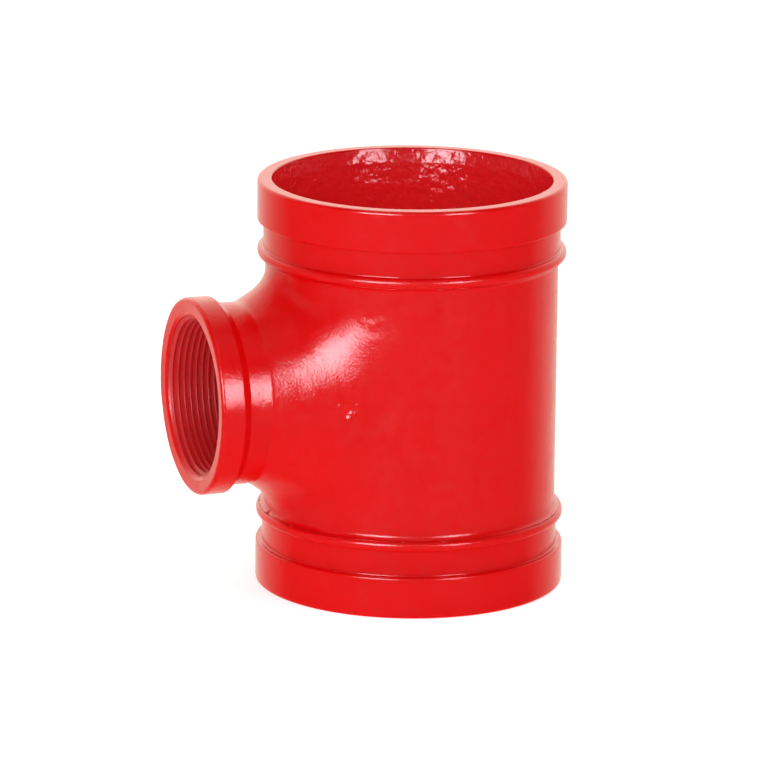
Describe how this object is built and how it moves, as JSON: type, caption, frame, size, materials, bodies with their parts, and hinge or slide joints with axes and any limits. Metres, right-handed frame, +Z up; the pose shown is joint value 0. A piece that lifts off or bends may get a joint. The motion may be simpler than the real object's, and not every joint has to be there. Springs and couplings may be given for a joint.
{
  "type": "grooved reducing tee with threaded branch",
  "caption": "Red painted cast-iron pipe tee: a short straight run with a coupling groove and a bead at each end, and a tapped collared branch on a flared saddle.",
  "frame": {"origin": "where the axis of the run crosses the axis of the branch, at half the run's length", "axes": "+Z up along the run, -X out along the branch, +Y to the side"},
  "size_m": [0.1431, 0.1142, 0.1524],
  "materials": {
    "tee_body": "gloss"
  },
  "bodies": {
    "root": {"tee_body": "tee_body"}
  },
  "joints": []
}
